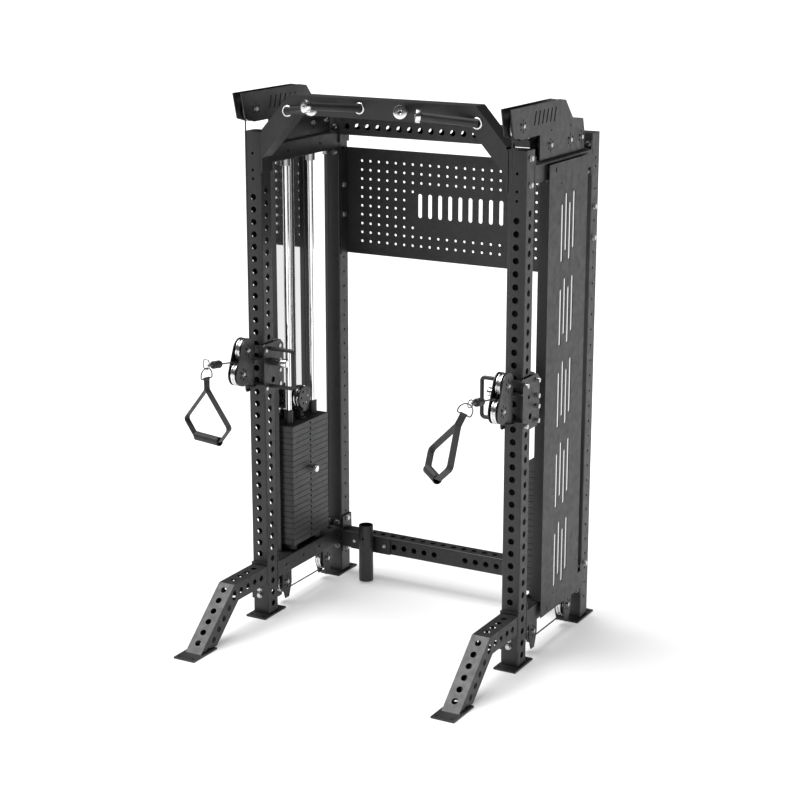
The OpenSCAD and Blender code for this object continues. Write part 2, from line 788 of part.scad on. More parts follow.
// Rubber stop with its flat lug and the oval link that carries the handle
module cable_end(s) {
    half_link = link_r + link_straight / 2;
    far = eye(s) + half_link * [-cos(lead_deg), sin(lead_deg)];
    color("#2b2c2e") side(s) translate([upright_x, stop_y(s), stop_z(s)]) rotate([-lead_deg, 0, 0]) {
        rotate([90, 0, 0]) cylinder(d = stop_d, h = stop_l);
        difference() {
            translate([-7.5, -stop_l - lug_l, -3.5]) cube([15, lug_l + 0.1, 7]);
            translate([0, -eye_l, 0]) cylinder(d = 7, h = 30, center = true);
        }
    }
    color("#d0d2d4") side(s) {
        if (s > 0) oval_link([upright_x, far[0], far[1]], 0, -lead_deg);
        else oval_link([upright_x + link_r, eye(s)[0], eye(s)[1] + link_lift], 90, 90);
    }
}

// ---- Handle --------------------------------------------------------------------------------

// Puts a handle drawn hanging from the origin into its pose under the ring
module hang(s) {
    ring = s > 0 ? ring_r : ring_l;
    yaw = s > 0 ? yaw_r : yaw_l;
    swing = s > 0 ? swing_r : swing_l;
    translate(ring) rotate([0, 0, yaw]) rotate([swing, 0, 0]) children();
}

// Closed outline moved inwards by t, with mitred corners
function inset_loop(p, t) = let (n = len(p)) [for (i = [0 : n - 1]) let (
    u = (p[i] - p[(i + n - 1) % n]) / norm(p[i] - p[(i + n - 1) % n]),
    v = (p[(i + 1) % n] - p[i]) / norm(p[(i + 1) % n] - p[i])
) p[i] + t * [u[1] + v[1], -u[0] - v[0]] / (1 + u * v)];

// Webbing loop seen from the front, with the doubled tab that holds the ring
module strap_2d() {
    end_x = grip_half + 1.5;
    loop = [
        [0, -strap_apex], [strap_half, -strap_corner], [end_x, -strap_grip],
        [-end_x, -strap_grip], [-strap_half, -strap_corner]
    ];
    difference() {
        polygon(inset_loop(loop, -strap_t / 2));
        polygon(inset_loop(loop, strap_t / 2));
    }
    tab_z = -dring_top - dring_r - dring_leg + 5;
    translate([-strap_t / 2, -strap_apex]) square([strap_t, strap_apex + tab_z]);
}

module handle_strap(s) {
    color("#232425") hang(s) translate([0, strap_w / 2, 0]) rotate([90, 0, 0]) linear_extrude(strap_w) strap_2d();
    // Half-round ring across the loop, its straight side in the strap's tab
    color("#55575a") hang(s) rotate([0, 0, 90]) translate([0, 0, -dring_top - dring_r]) rotate([90, 0, 0]) {
        rotate_extrude(angle = 180) translate([dring_r, 0]) circle(ring_wire_r);
        for (t = [-1, 1]) {
            translate([t * dring_r, dring_corner - dring_leg, 0]) rotate([-90, 0, 0])
                cylinder(r = ring_wire_r, h = dring_leg - dring_corner);
            translate([t * (dring_r - dring_corner), dring_corner - dring_leg, 0])
                rotate([0, 0, t > 0 ? -90 : 180])
                    rotate_extrude(angle = 90) translate([dring_corner, 0]) circle(ring_wire_r);
        }
        translate([dring_corner - dring_r, -dring_leg, 0]) rotate([0, 90, 0])
            cylinder(r = ring_wire_r, h = 2 * (dring_r - dring_corner));
    }
}

module handle_grip(s) {
    color("#1f2021") hang(s) translate([-grip_half, 0, -strap_grip]) rotate([0, 90, 0]) difference() {
        cylinder(d = grip_od, h = 2 * grip_half);
        translate([0, 0, -1]) cylinder(d = grip_bore, h = 2 * grip_half + 2);
    }
}

// ---- Cables --------------------------------------------------------------------------------

// Angle of the rim points where a straight line joins two wrapped pulleys turning the same way
function tangent_a(p, q) = atan2(q[1] - p[1], q[0] - p[0]) + 90;

// Points of a cable wrapped on a pulley from angle a0 to a1, each [y, z, normal y, normal z]
function wrap(p, a0, a1) = let (n = ceil(abs(a1 - a0) / 11), t = a1 < a0 ? 1 : -1)
    [for (i = [0 : n]) let (a = a0 + (a1 - a0) * i / n)
        [p[0] + rope_r * cos(a), p[1] + rope_r * sin(a), t * cos(a), t * sin(a)]];

// Round cable swept along such a path, in the plane of the pulleys
module cable(path) {
    m = 8;
    n = len(path);
    points = [for (q = path, t = [0 : m - 1]) let (u = 360 * t / m) [
        upright_x + cable_r * cos(u),
        q[0] + cable_r * sin(u) * q[2],
        q[1] + cable_r * sin(u) * q[3]
    ]];
    sides = [for (i = [0 : n - 2], t = [0 : m - 1])
        [i * m + t, i * m + (t + 1) % m, (i + 1) * m + (t + 1) % m, (i + 1) * m + t]];
    ends = [[for (t = [m - 1 : -1 : 0]) t], [for (t = [0 : m - 1]) (n - 1) * m + t]];
    color("#1b1c1d") polyhedron(points = points, faces = concat(sides, ends), convexity = 8);
}

module cable_run(s) {
    a_top = tangent_a(top_front, top_fore);
    a_drop = tangent_a(top_rear, low_rear);
    side(s) cable(concat(
        [[lead_y, trolley_up[1], -1, 0]],
        wrap(top_front, 180, a_top),
        wrap(top_fore, a_top, 0),
        wrap([stack_y, float_z], 180, 360),
        wrap(top_aft, 180, 90),
        wrap(top_rear, 90, a_drop),
        wrap(low_rear, a_drop, -90),
        wrap(low_front, -90, -180),
        [[anchor_y, 1082, -1, 0]]
    ));
}

module cable_lead(s) {
    n = [-sin(lead_deg), -cos(lead_deg)];
    side(s) cable(concat(
        wrap(trolley_up, 0, -90 - lead_deg),
        [[stop_y(s), stop_z(s), n[0], n[1]]]
    ));
}

// ---- Bar holder and bolts ------------------------------------------------------------------

module bar_holder() {
    x = -400;
    y = rear_y - half - 6 - 32;
    color("#3b3d40") {
        difference() {
            union() {
                bore_z(x, y, 64, 8, 268);
                box(x - 14, x + 14, y, rear_y - half - 5.9, low_cross_z0 + 6, low_cross_z0 + tube_w - 6);
            }
            bore_z(x, y, 54, 20, 272);
            bore_y(x, 209, 10, y - 40, y);
        }
        difference() {
            box(-500, -296, rear_y - half - 6, rear_y - half, low_cross_z0, low_cross_z0 + tube_w);
            for (bx = [-478, -325]) bore_y(bx, low_cross_z0 + half, 9, rear_y - half - 10, rear_y);
        }
    }
}

// Bolt heads of the frame joints
module frame_bolts() {
    d = 12;
    color("#b9bbbd") both_sides() {
        for (z = [1935, 2035]) bolt_out(outer_x, 0, z, d);
        for (z = [1642, 1769, 245]) bolt_out(outer_x, rear_y, z, d);
        for (z = [1642, 1769]) bolt_in(inner_x - peg_t, rear_y, z, d);
        for (z = [255, 118]) bolt_in(inner_x - flange_t, rear_y, z, d);
        for (x = [-22, 22], z = [135, 243]) {
            bolt_front(upright_x + x, post_gap_y1 - flange_t, z, d);
            bolt_back(upright_x + x, post_gap_y0 + flange_t, z, d);
        }
        for (x = [-22, 22], z = [1917, 2023]) {
            bolt_front(upright_x + x, post_gap_y1 - flange_t, z, d);
            bolt_back(upright_x + x, post_gap_y0 + flange_t, z, d);
        }
        for (z = [93, 123]) bolt_front(upright_x, -half - flange_t, z, d);
        for (p = [top_front, top_fore, top_aft, top_rear, low_front, low_rear], t = [-1, 1])
            translate([upright_x + t * cheek_out, p[0], p[1]]) rotate([0, t * 90, 0]) cylinder(d = 19, h = 7, $fn = 6);
    }
    color("#b9bbbd") {
        for (bx = [-478, -325]) bolt_front(bx, rear_y - half - 6, low_cross_z0 + half, 8);
    }
}

module bolt_out(x, y, z, d) { bolt_head(x, y, z, d, [0, 90, 0]); }

module bolt_in(x, y, z, d) { bolt_head(x, y, z, d, [0, -90, 0]); }

module bolt_front(x, y, z, d) { bolt_head(x, y, z, d, [90, 0, 0]); }

module bolt_back(x, y, z, d) { bolt_head(x, y, z, d, [-90, 0, 0]); }

module bolt_head(x, y, z, d, turn) {
    translate([x, y, z]) rotate(turn) {
        cylinder(d = d * 2.1, h = 2);
        translate([0, 0, 1.99]) cylinder(d = d * 1.8, h = d * 0.6, $fn = 6);
    }
}

// ---- Nodes ---------------------------------------------------------------------------------

place() front_uprights();
place() rear_uprights();
place() front_feet();
place() lower_side_beams();
place() upper_side_beams();
place() lower_crossmember();
place() upper_crossmember();
place() pull_up_arch();
place() pull_up_grips();
place() pegboard();
place() side_shrouds();
place() shroud_backings();
place() pulley_brackets();
place() guide_rods();
place() resting_plates();
place() bar_holder();
place() frame_bolts();
place() side(-1) pulley(top_front, false);  // top_front_pulley_l
place() side(1) pulley(top_front, false);  // top_front_pulley_r
place() side(-1) pulley(top_fore, false);  // top_fore_pulley_l
place() side(1) pulley(top_fore, false);  // top_fore_pulley_r
place() side(-1) pulley(top_aft, false);  // top_aft_pulley_l
place() side(1) pulley(top_aft, false);  // top_aft_pulley_r
place() side(-1) pulley(top_rear, false);  // top_rear_pulley_l
place() side(1) pulley(top_rear, false);  // top_rear_pulley_r
place() side(-1) pulley(low_front, true);  // low_front_pulley_l
place() side(1) pulley(low_front, true);  // low_front_pulley_r
place() side(-1) pulley(low_rear, true);  // low_rear_pulley_l
place() side(1) pulley(low_rear, true);  // low_rear_pulley_r
place() side(-1) pulley([stack_y, float_z], true);  // stack_pulley_l
place() side(1) pulley([stack_y, float_z], true);  // stack_pulley_r
place() stack_head(-1);  // stack_head_l
place() stack_head(1);  // stack_head_r
place() picked_plates(-1);  // picked_plates_l
place() picked_plates(1);  // picked_plates_r
place() selector_pin(-1);  // selector_pin_l
place() selector_pin(1);  // selector_pin_r
place() trolley(-1);  // trolley_l
place() trolley(1);  // trolley_r
place() side_handle(-1);  // side_handle_l
place() side_handle(1);  // side_handle_r
place() pop_pin(-1);  // pop_pin_l
place() pop_pin(1);  // pop_pin_r
place() swivel(-1);  // swivel_l
place() swivel(1);  // swivel_r
place() side(-1) pulley(trolley_up, false);  // lead_pulley_l
place() side(1) pulley(trolley_up, false);  // lead_pulley_r
place() side(-1) pulley(trolley_low, false);  // guide_pulley_l
place() side(1) pulley(trolley_low, false);  // guide_pulley_r
place() cable_end(-1);  // cable_end_l
place() cable_end(1);  // cable_end_r
place() handle_strap(-1);  // handle_strap_l
place() handle_strap(1);  // handle_strap_r
place() handle_grip(-1);  // handle_grip_l
place() handle_grip(1);  // handle_grip_r
place() cable_run(-1);  // cable_run_l
place() cable_run(1);  // cable_run_r
place() cable_lead(-1);  // cable_lead_l
place() cable_lead(1);  // cable_lead_r
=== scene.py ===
"""Looks of a functional trainer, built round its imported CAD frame. Metres, in the frame's own axes."""

import json
import math

import bmesh
import bpy
from mathutils import Matrix, Vector


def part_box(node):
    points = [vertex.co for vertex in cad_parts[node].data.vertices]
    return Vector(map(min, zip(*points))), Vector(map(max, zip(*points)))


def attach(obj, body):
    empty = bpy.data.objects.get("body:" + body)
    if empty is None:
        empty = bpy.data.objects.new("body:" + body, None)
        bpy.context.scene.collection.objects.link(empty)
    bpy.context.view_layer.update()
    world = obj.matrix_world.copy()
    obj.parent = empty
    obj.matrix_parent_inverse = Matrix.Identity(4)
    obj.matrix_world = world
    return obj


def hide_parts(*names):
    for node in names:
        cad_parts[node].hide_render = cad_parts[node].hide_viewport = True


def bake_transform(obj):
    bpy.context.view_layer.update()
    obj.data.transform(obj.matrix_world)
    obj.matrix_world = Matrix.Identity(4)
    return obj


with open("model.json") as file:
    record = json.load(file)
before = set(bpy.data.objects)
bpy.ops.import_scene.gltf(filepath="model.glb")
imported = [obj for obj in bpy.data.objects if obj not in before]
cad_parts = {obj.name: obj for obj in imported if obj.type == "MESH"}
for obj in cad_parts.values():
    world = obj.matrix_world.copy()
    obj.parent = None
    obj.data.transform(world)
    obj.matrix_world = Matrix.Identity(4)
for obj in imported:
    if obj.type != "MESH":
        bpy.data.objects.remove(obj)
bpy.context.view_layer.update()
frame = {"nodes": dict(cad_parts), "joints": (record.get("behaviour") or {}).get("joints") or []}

MM = 0.001
SIDES = {"l": -1, "r": 1}
JOINTS = {j["name"]: j for j in frame["joints"]}
FIXED_PULLEYS = ("top_front_pulley", "top_fore_pulley", "top_aft_pulley", "top_rear_pulley",
                 "low_front_pulley", "low_rear_pulley")
MOVING_PULLEYS = ("stack_pulley", "lead_pulley", "guide_pulley")

# The middle of the uprights' base plates is where the machine's own Y starts
UPRIGHT_LOW, UPRIGHT_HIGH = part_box("front_uprights")
FRONT_Y = (UPRIGHT_LOW.y + UPRIGHT_HIGH.y) / 2


def at(x, y, z):
    """A point in millimetres from the middle of the machine and the front uprights' centre line."""
    return Vector((x * MM, FRONT_Y + y * MM, z * MM))


def spot(joint):
    """Where a joint's axis stands."""
    return Vector(JOINTS[joint]["pos_m"])


def axle(pulley, side):
    return spot(f"{pulley}_{side}_spin")


# ---- Mesh helpers --------------------------------------------------------------------------


def mesh_piece(name, verts, faces, material, sharp_deg=35):
    """A smooth-shaded mesh object with outward normals and edges kept sharp above an angle."""
    mesh = bpy.data.meshes.new(name)
    mesh.from_pydata([tuple(v) for v in verts], [], faces)
    mesh.validate()
    shaped = bmesh.new()
    shaped.from_mesh(mesh)
    bmesh.ops.recalc_face_normals(shaped, faces=shaped.faces)
    shaped.to_mesh(mesh)
    shaped.free()
    mesh.polygons.foreach_set("use_smooth", [True] * len(mesh.polygons))
    mesh.set_sharp_from_angle(angle=math.radians(sharp_deg))
    mesh.materials.append(material)
    piece = bpy.data.objects.new(name, mesh)
    bpy.context.scene.collection.objects.link(piece)
    return piece


def loft(rings, closed=False):
    """Vertices and faces of a skin over equal rings, capped unless it closes on itself."""
    n = len(rings[0])
    count = len(rings)
    verts = [p for ring in rings for p in ring]
    faces = []
    for i in range(count if closed else count - 1):
        a = i * n
        b = ((i + 1) % count) * n
        for k in range(n):
            j = (k + 1) % n
            faces.append((a + k, a + j, b + j, b + k))
    if not closed:
        faces.append(tuple(range(n - 1, -1, -1)))
        faces.append(tuple(range((count - 1) * n, count * n)))
    return verts, faces


def joined(parts):
    """Several (vertices, faces) pairs as one."""
    verts, faces = [], []
    for part_verts, part_faces in parts:
        first = len(verts)
        verts += part_verts
        faces += [tuple(i + first for i in face) for face in part_faces]
    return verts, faces


def tube(path, radius, sides=16, closed=False):
    """A round tube along a path of points; radius is one number, or one for each point."""
    radii = radius if isinstance(radius, list) else [radius] * len(path)
    count = len(path)
    rings = []
    normal = None
    for i, p in enumerate(path):
        if closed:
            tangent = (path[(i + 1) % count] - path[i - 1]).normalized()
        else:
            tangent = (path[min(i + 1, count - 1)] - path[max(i - 1, 0)]).normalized()
        if normal is None:
            normal = tangent.orthogonal()
        normal = (normal - tangent * normal.dot(tangent)).normalized()
        across = tangent.cross(normal)
        turn = [2 * math.pi * k / sides for k in range(sides)]
        rings.append([p + radii[i] * (math.cos(a) * normal + math.sin(a) * across) for a in turn])
    return loft(rings, closed)


def turned_rings(profile, start, axis, segments):
    """Rings of points round an axis; profile is (height along it, radius) in millimetres."""
    axis = Vector(axis).normalized()
    side = axis.orthogonal().normalized()
    across = axis.cross(side)
    turn = [2 * math.pi * k / segments for k in range(segments)]
    rings = []
    for height, radius in profile:
        centre = start + axis * height * MM
        reach = max(radius, 0.01) * MM
        rings.append([centre + reach * (math.cos(a) * side + math.sin(a) * across) for a in turn])
    return rings


def lathe(profile, start, axis, segments=56):
    """A turned solid, closed by a cap at each end."""
    return loft(turned_rings(profile, start, axis, segments))


def hollow(outer, inner, start, axis, segments=56):
    """A turned ring: the outer profile runs one way and the inner one back."""
    return loft(turned_rings(outer + inner[::-1], start, axis, segments), closed=True)


def chamfered(z0, z1, r, c=1.0):
    """Profile of a disc from height z0 to z1 with softened rims."""
    edge = c * 0.3
    return [(z0, 0), (z0, r - c), (z0 + edge, r - edge), (z0 + c, r),
            (z1 - c, r), (z1 - edge, r - edge), (z1, r - c), (z1, 0)]


def rounded(points, radii, closed=True, steps=6):
    """A polyline with its corners turned into arcs of the given radii, in any plane."""
    count = len(points)
    path = []
    for i, p in enumerate(points):
        if radii[i] == 0 or (not closed and i in (0, count - 1)):
            path.append(p)
            continue
        u = (points[i - 1] - p).normalized()
        v = (points[(i + 1) % count] - p).normalized()
        half = u.angle(v) / 2
        centre = p + (u + v).normalized() * radii[i] / math.sin(half)
        first = p + u * radii[i] / math.tan(half) - centre
        last = p + v * radii[i] / math.tan(half) - centre
        sweep = first.angle(last)
        for k in range(steps + 1):
            t = k / steps
            spoke = (math.sin((1 - t) * sweep) * first + math.sin(t * sweep) * last) / math.sin(sweep)
            path.append(centre + spoke)
    return path


def arc_yz(centre, radius, start_deg, end_deg, step_deg=7):
    """Points of an arc in the Y-Z plane; 0 degrees is +Y and 90 is up."""
    n = max(2, math.ceil(abs(end_deg - start_deg) / step_deg))
    angles = [math.radians(start_deg + (end_deg - start_deg) * i / n) for i in range(n + 1)]
    return [centre + radius * Vector((0, math.cos(a), math.sin(a))) for a in angles]


def line(a, b, n=12):
    return [a.lerp(b, i / n) for i in range(n + 1)]


# ---- Materials -----------------------------------------------------------------------------


class Finish:
    """A Principled material whose colour, roughness and relief come from its own nodes."""

    def __init__(self, name, roughness=0.5, metallic=0.0, **shader):
        self.material = bpy.data.materials.new(name)
        self.material.use_nodes = True
        self.tree = self.material.node_tree
        self.shader = self.tree.nodes["Principled BSDF"]
        self.shader.inputs["Roughness"].default_value = roughness
        self.shader.inputs["Metallic"].default_value = metallic
        for key, value in shader.items():
            self.shader.inputs[key.replace("_", " ")].default_value = value
        self.coords = self.add("ShaderNodeTexCoord")
        self.normal = None

    def add(self, kind, inputs=None, **settings):
        node = self.tree.nodes.new(kind)
        for key, value in settings.items():
            setattr(node, key, value)
        for key, value in (inputs or {}).items():
            if hasattr(value, "is_linked"):
                self.tree.links.new(value, node.inputs[key])
            else:
                node.inputs[key].default_value = value
        return node

    def noise(self, scale, detail=2.0, stretch=None):
        vector = self.coords.outputs["Object"]
        if stretch:
            vector = self.add("ShaderNodeMapping", {"Vector": vector, "Scale": stretch}).outputs[0]
        inputs = {"Vector": vector, "Scale": scale, "Detail": detail}
        return self.add("ShaderNodeTexNoise", inputs).outputs["Fac"]

    def ramp(self, factor, stops):
        node = self.add("ShaderNodeValToRGB", {"Fac": factor})
        elements = node.color_ramp.elements
        while len(elements) < len(stops):
            elements.new(0.5)
        for element, (position, colour) in zip(elements, stops):
            element.position = position
            element.color = (*colour, 1)
        return node.outputs["Color"]

    def colour(self, factor, dark, light, low=0.35, high=0.65):
        mixed = self.ramp(factor, [(low, dark), (high, light)])
        self.tree.links.new(mixed, self.shader.inputs["Base Color"])

    def vary_roughness(self, factor, low, high):
        node = self.add("ShaderNodeMapRange", {"Value": factor, "From Min": 0.3, "From Max": 0.7,
                                               "To Min": low, "To Max": high})
        self.tree.links.new(node.outputs["Result"], self.shader.inputs["Roughness"])

    def relief(self, height, depth, strength=1.0):
        inputs = {"Height": height, "Distance": depth, "Strength": strength}
        if self.normal is not None:
            inputs["Normal"] = self.normal
        self.normal = self.add("ShaderNodeBump", inputs).outputs["Normal"]
        self.tree.links.new(self.normal, self.shader.inputs["Normal"])


def grey(value, tint=0.0):
    """A linear grey, slightly blue where tint is above 0."""
    return (value, value * (1 + tint * 0.4), value * (1 + tint))


def powder_coat(name, level, tint=0.04, roughness=(0.36, 0.5), grain=900, depth=0.00012):
    """Sprayed powder paint: fine orange peel, faint mottling and uneven sheen."""
    f = Finish(name)
    f.colour(f.noise(6, 4), grey(level * 0.86, tint), grey(level * 1.16, tint))
    f.vary_roughness(f.noise(38, 3), *roughness)
    f.relief(f.noise(grain, 2), depth, 0.55)
    f.relief(f.noise(grain / 3.2, 1), depth * 1.6, 0.3)
    return f.material


def metal(name, level, roughness=(0.12, 0.25), stretch=None, scale=60, depth=0.00002, tint=0.01):
    """Bare or plated metal with faint working marks."""
    f = Finish(name, metallic=1.0)
    f.colour(f.noise(14, 3), grey(level * 0.94, tint), grey(level, tint))
    f.vary_roughness(f.noise(scale, 4, stretch), *roughness)
    f.relief(f.noise(scale * 6, 2, stretch), depth, 0.5)
    return f.material


def rubber(name, level, roughness=(0.5, 0.68), grain=700, depth=0.00015):
    """Rubber or plastic with a fine moulded grain."""
    f = Finish(name)
    f.colour(f.noise(24, 3), grey(level * 0.8), grey(level * 1.25))
    f.vary_roughness(f.noise(90, 2), *roughness)
    f.relief(f.noise(grain, 3), depth, 0.6)
    return f.material


def webbing(name, level, yarn=0.0013):
    """Woven nylon: yarns cross along the strap's own length and width."""
    f = Finish(name, roughness=0.62, Sheen_Weight=0.35, Sheen_Roughness=0.4)
    uv = f.add("ShaderNodeSeparateXYZ", {"Vector": f.coords.outputs["UV"]})
    waves = []
    for output, pitch in (("X", yarn), ("Y", yarn * 1.25)):
        inputs = {0: uv.outputs[output], 1: 2 * math.pi / pitch}
        turns = f.add("ShaderNodeMath", inputs, operation="MULTIPLY")
        waves.append(f.add("ShaderNodeMath", {0: turns.outputs[0]}, operation="SINE").outputs[0])
    weave = f.add("ShaderNodeMath", {0: waves[0], 1: waves[1]}, operation="MULTIPLY").outputs[0]
    inputs = {"Value": weave, "From Min": -1.0, "From Max": 1.0}
    height = f.add("ShaderNodeMapRange", inputs).outputs["Result"]
    # The weave's low points are painted darker and its crests lighter: painted shade in the hollows between
    # yarns and a painted highlight on their tops, over one even nylon colour
    f.colour(height, grey(level * 0.6), grey(level * 1.5), 0.2, 0.8)
    f.relief(height, 0.00035, 0.8)
    f.relief(f.noise(60, 3), 0.0004, 0.25)
    return f.material


def polished(name, level, stretch, painted_from):
    """Mirror-like sheet with faint rolling marks, painted dark behind a line across Y."""
    f = Finish(name)
    y = f.add("ShaderNodeSeparateXYZ", {"Vector": f.coords.outputs["Object"]}).outputs["Y"]
    inputs = {"Value": y, "From Min": painted_from, "From Max": painted_from + MM}
    painted = f.add("ShaderNodeMapRange", inputs).outputs["Result"]
    f.colour(painted, grey(level * 0.97), grey(0.012))
    bare = f.add("ShaderNodeMath", {0: 1.0, 1: painted}, operation="SUBTRACT").outputs[0]
    f.tree.links.new(bare, f.shader.inputs["Metallic"])
    inputs = {"Value": f.noise(120, 3, stretch), "From Min": 0.3, "From Max": 0.7,
              "To Min": 0.035, "To Max": 0.075}
    marks = f.add("ShaderNodeMapRange", inputs).outputs["Result"]
    rough = f.add("ShaderNodeMath", {0: painted, 1: 0.4, 2: marks}, operation="MULTIPLY_ADD").outputs[0]
    f.tree.links.new(rough, f.shader.inputs["Roughness"])
    f.relief(f.noise(260, 2, stretch), 0.000004, 0.3)
    return f.material


POWDER = powder_coat("charcoal_powder_coat", 0.017)
SHROUD = powder_coat("shroud_powder_coat", 0.025, roughness=(0.42, 0.55), grain=1100, depth=0.0001)
BRACKET = powder_coat("bracket_powder_coat", 0.009, roughness=(0.34, 0.46))
BAR = powder_coat("bar_powder_coat", 0.016, roughness=(0.4, 0.55), grain=620, depth=0.0003)
IRON = powder_coat("plate_enamel", 0.032, roughness=(0.38, 0.5), grain=520, depth=0.00018)
CHROME = metal("hard_chrome", 0.9, (0.04, 0.1), (60, 60, 1))
ZINC = metal("zinc_plate", 0.5, (0.24, 0.38), scale=160, tint=0.03)
WIRE = metal("plated_wire", 0.3, (0.16, 0.26), scale=220)
ALUMINIUM = metal("turned_aluminium", 0.8, (0.16, 0.3), (1, 40, 40), 30, 0.00003)
STEEL = metal("dark_steel", 0.12, (0.24, 0.36), scale=200)
SHEET = polished("polished_sheet", 0.62, (1, 0.02, 1), at(0, 388, 0).y)
RUBBER = rubber("black_rubber", 0.012)
GRIP = rubber("grip_rubber", 0.015, (0.5, 0.62), 1200, 0.0001)
NYLON_WHEEL = rubber("roller_nylon", 0.03, (0.4, 0.5), 400, 0.00005)
CABLE = rubber("cable_jacket", 0.01, (0.3, 0.42), 1500, 0.00003)
STRAP = webbing("nylon_webbing", 0.026)
THREAD = rubber("thread", 0.05, (0.55, 0.7), 2500, 0.0001)


# ---- CAD nodes that keep their shape -------------------------------------------------------


def smooth_by_angle(limit_deg=32):
    """One modifier tree that shades smooth and keeps edges sharp above an angle."""
    tree = bpy.data.node_groups.new("smooth_by_angle", "GeometryNodeTree")
    tree.interface.new_socket("Geometry", in_out="INPUT", socket_type="NodeSocketGeometry")
    tree.interface.new_socket("Geometry", in_out="OUTPUT", socket_type="NodeSocketGeometry")
    start = tree.nodes.new("NodeGroupInput")
    end = tree.nodes.new("NodeGroupOutput")
    faces = tree.nodes.new("GeometryNodeSetShadeSmooth")
    faces.inputs["Shade Smooth"].default_value = True
    edges = tree.nodes.new("GeometryNodeSetShadeSmooth")
    edges.domain = "EDGE"
    edges.inputs["Shade Smooth"].default_value = False
    angle = tree.nodes.new("GeometryNodeInputMeshEdgeAngle")
    steep = tree.nodes.new("FunctionNodeCompare")
    steep.operation = "GREATER_THAN"
    steep.inputs[1].default_value = math.radians(limit_deg)
    tree.links.new(start.outputs[0], faces.inputs["Geometry"])
    tree.links.new(faces.outputs[0], edges.inputs["Geometry"])
    tree.links.new(angle.outputs["Unsigned Angle"], steep.inputs[0])
    tree.links.new(steep.outputs[0], edges.inputs["Selection"])
    tree.links.new(edges.outputs[0], end.inputs[0])
    return tree


SMOOTH = smooth_by_angle()

# Nodes whose flat faces come apart when they are dissolved, so they keep their triangles
MESHY = ("front_feet", "frame_bolts", "upper_crossmember", "pulley_brackets")


def soften(node, width):
    """Rounds a CAD node's edges with modifiers, which leave its own mesh as it is."""
    piece = frame["nodes"][node]
    if "custom_normal" in piece.data.attributes:
        piece.data.attributes.remove(piece.data.attributes["custom_normal"])
    weld = piece.modifiers.new("weld", "WELD")
    weld.merge_threshold = 0.00002
    if node not in MESHY:
        flat = piece.modifiers.new("flat", "DECIMATE")
        flat.decimate_type = "DISSOLVE"
        flat.angle_limit = math.radians(0.4)
    if width:
        bevel = piece.modifiers.new("edges", "BEVEL")
        bevel.width = width * MM
        bevel.segments = 2
        bevel.limit_method = "ANGLE"
        bevel.angle_limit = math.radians(38)
        bevel.loop_slide = False
        bevel.use_clamp_overlap = node == "upper_crossmember"
    shade = piece.modifiers.new("shade", "NODES")
    shade.node_group = SMOOTH
    even = piece.modifiers.new("even", "WEIGHTED_NORMAL")
    even.mode = "FACE_AREA"
    even.keep_sharp = True


def dress(node, material, width=0.6, patches=()):
    """Gives a CAD node its finish; each patch is a second material and a test on a face's centre."""
    piece = frame["nodes"][node]
    piece.data.materials.clear()
    for m in [material] + [m for m, _ in patches]:
        piece.data.materials.append(m)
    for face in piece.data.polygons:
        face.material_index = 0
        for number, (_, test) in enumerate(patches, 1):
            if test(face.center):
                face.material_index = number
    soften(node, width)


def off_axis(x, y):
    """A function that gives a point's distance from an upright line, on either side of the machine."""
    return lambda p: math.hypot(abs(p.x) - x, p.y - y)


AXLE_PATCH = 5.3 * MM
ROD_R = 13 * MM
PLATE_PITCH = 25.4 * MM
# Spread of the guide rods' bumpers past the rods' own centres
BUMPER_REACH = 28 * MM
# Lines of the trolley's bolts behind and in front of the upright, its outer face and its rollers
TROLLEY_BACK = 68
TROLLEY_FRONT = -35
TROLLEY_X = 588 * MM
TROLLEY_OUTSIDE = 48.2 * MM
ROLLER_R = 31 * MM


def near_axles(axles, reach=AXLE_PATCH):
    """A test for a face on one of the axles, seen from the side."""
    return lambda p: any(math.hypot(p.y - a.y, p.z - a.z) < reach for a in axles)


def dress_frame():
    for node in ("front_uprights", "rear_uprights", "front_feet", "lower_side_beams",
                 "upper_side_beams", "lower_crossmember", "upper_crossmember", "pull_up_arch", "bar_holder"):
        dress(node, POWDER, 0.9)
    dress("pegboard", POWDER, 0.4)
    dress("side_shrouds", SHROUD, 0.5)
    dress("shroud_backings", SHEET, 0)
    dress("frame_bolts", ZINC, 0.8)
    fixed_axle = near_axles([axle(k, "r") for k in FIXED_PULLEYS], 5.2 * MM)
    dress("pulley_brackets", BRACKET, 0.4, [(ZINC, fixed_axle)])
    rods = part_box("guide_rods")
    mid_y = (rods[0].y + rods[1].y) / 2
    rod_dy = (rods[1].y - rods[0].y) / 2 - BUMPER_REACH
    upright_x = abs(axle("stack_pulley", "r").x)

    def off_rod(p):
        return min(off_axis(upright_x, mid_y + s * rod_dy)(p) for s in (-1, 1)) > ROD_R + 0.2 * MM

    def top_collar(p):
        return off_rod(p) and p.z > rods[1].z - 40 * MM

    dress("guide_rods", CHROME, 0.4, [(RUBBER, off_rod), (ZINC, top_collar)])
    dress("resting_plates", IRON, 1.4)


